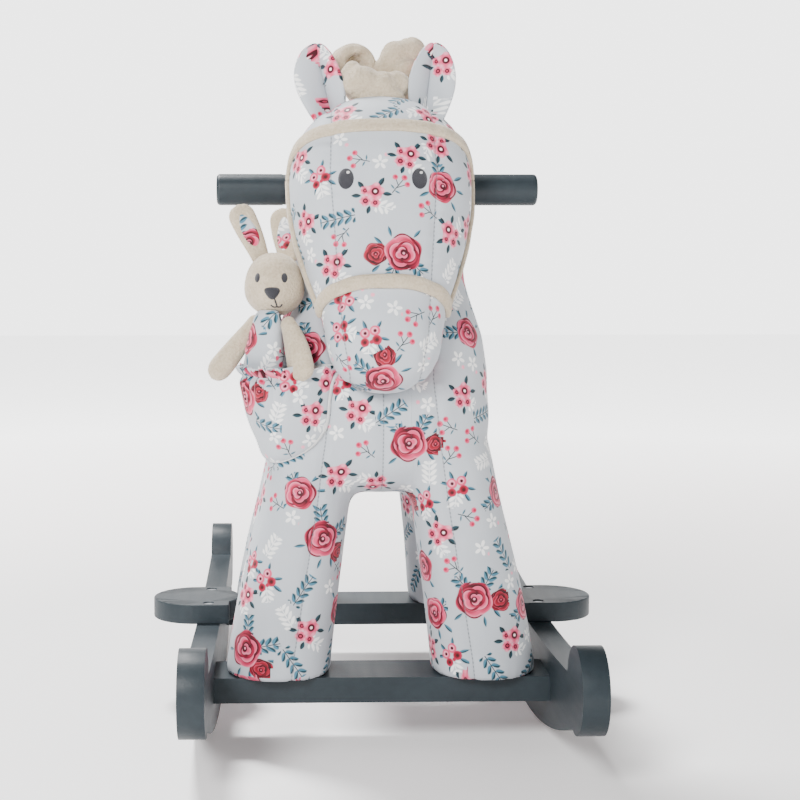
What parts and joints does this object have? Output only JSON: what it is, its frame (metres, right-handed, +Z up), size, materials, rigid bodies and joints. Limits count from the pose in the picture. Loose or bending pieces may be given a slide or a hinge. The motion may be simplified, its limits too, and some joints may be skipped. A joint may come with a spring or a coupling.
{
  "type": "rocking horse",
  "caption": "Stuffed floral cloth horse with a dowel handle, on a painted wooden rocker base with footrests, with a soft rabbit that lifts out of a shoulder pocket.",
  "frame": {"origin": "on the floor under the middle of the two rockers, where they touch it at rest", "axes": "+Z up, +Y towards the tail along the rockers, +X towards the horse's left side"},
  "size_m": [0.39, 0.6, 0.5703],
  "materials": {
    "painted_wood": "satin grey paint",
    "bare_wood": "sanded, unpainted",
    "steel": "zinc plated",
    "floral_cloth": "smooth brushed cotton with a small floral print",
    "fleece": "short pile plush",
    "filling": "polyester fibre",
    "embroidery": "satin stitch"
  },
  "bodies": {
    "root": {"left_rocker": "painted_wood", "right_rocker": "painted_wood", "front_crossbar": "painted_wood", "rear_crossbar": "painted_wood", "crossbar_bolts": "steel", "barrel_nuts": "steel", "locating_dowels": "bare_wood", "left_footrest": "painted_wood", "right_footrest": "painted_wood", "footrest_screws": "steel", "body_board": "bare_wood", "neck_post": "bare_wood", "neck_braces": "bare_wood", "neck_screws": "steel", "handle": "painted_wood", "handle_screw": "steel", "front_left_post": "bare_wood", "front_right_post": "bare_wood", "rear_left_post": "bare_wood", "rear_right_post": "bare_wood", "leg_bolts": "steel", "leg_washers": "steel", "leg_inserts": "steel", "body_filling": "filling", "left_body_cover": "floral_cloth", "right_body_cover": "floral_cloth", "left_gusset": "floral_cloth", "right_gusset": "floral_cloth", "head_filling": "filling", "face_panel": "floral_cloth", "left_cheek": "floral_cloth", "right_cheek": "floral_cloth", "front_left_filling": "filling", "front_right_filling": "filling", "rear_left_filling": "filling", "rear_right_filling": "filling", "front_left_cover": "floral_cloth", "front_right_cover": "floral_cloth", "rear_left_cover": "floral_cloth", "rear_right_cover": "floral_cloth", "leg_soles": "floral_cloth", "left_ear": "floral_cloth", "right_ear": "floral_cloth", "mane": "fleece", "tail": "fleece", "saddle": "fleece", "browband": "fleece", "cheek_straps": "fleece", "noseband": "fleece", "eyes": "embroidery", "pocket_back": "floral_cloth", "pocket_pouch": "floral_cloth"},
    "rabbit": {"rabbit_head": "fleece", "rabbit_body": "floral_cloth", "rabbit_ears": "fleece", "rabbit_ear_linings": "floral_cloth", "rabbit_face": "embroidery"},
    "rabbit_left_arm": {"rabbit_left_arm": "fleece"},
    "rabbit_right_arm": {"rabbit_right_arm": "fleece"}
  },
  "joints": [
    {"name": "rabbit_lift", "type": "slide", "parent": "root", "child": "rabbit", "axis": [-0.272, -0.1301, 0.9535], "range_m": [0, 0.09]},
    {"name": "left_arm_swing", "type": "hinge", "parent": "rabbit", "child": "rabbit_left_arm", "pos_m": [-0.071, -0.151, 0.336], "axis": [-0.6947, 0.7193, 0], "range_deg": [0, 90]},
    {"name": "right_arm_swing", "type": "hinge", "parent": "rabbit", "child": "rabbit_right_arm", "pos_m": [-0.103, -0.122, 0.338], "axis": [-0.6947, 0.7193, 0], "range_deg": [0, 90]}
  ]
}
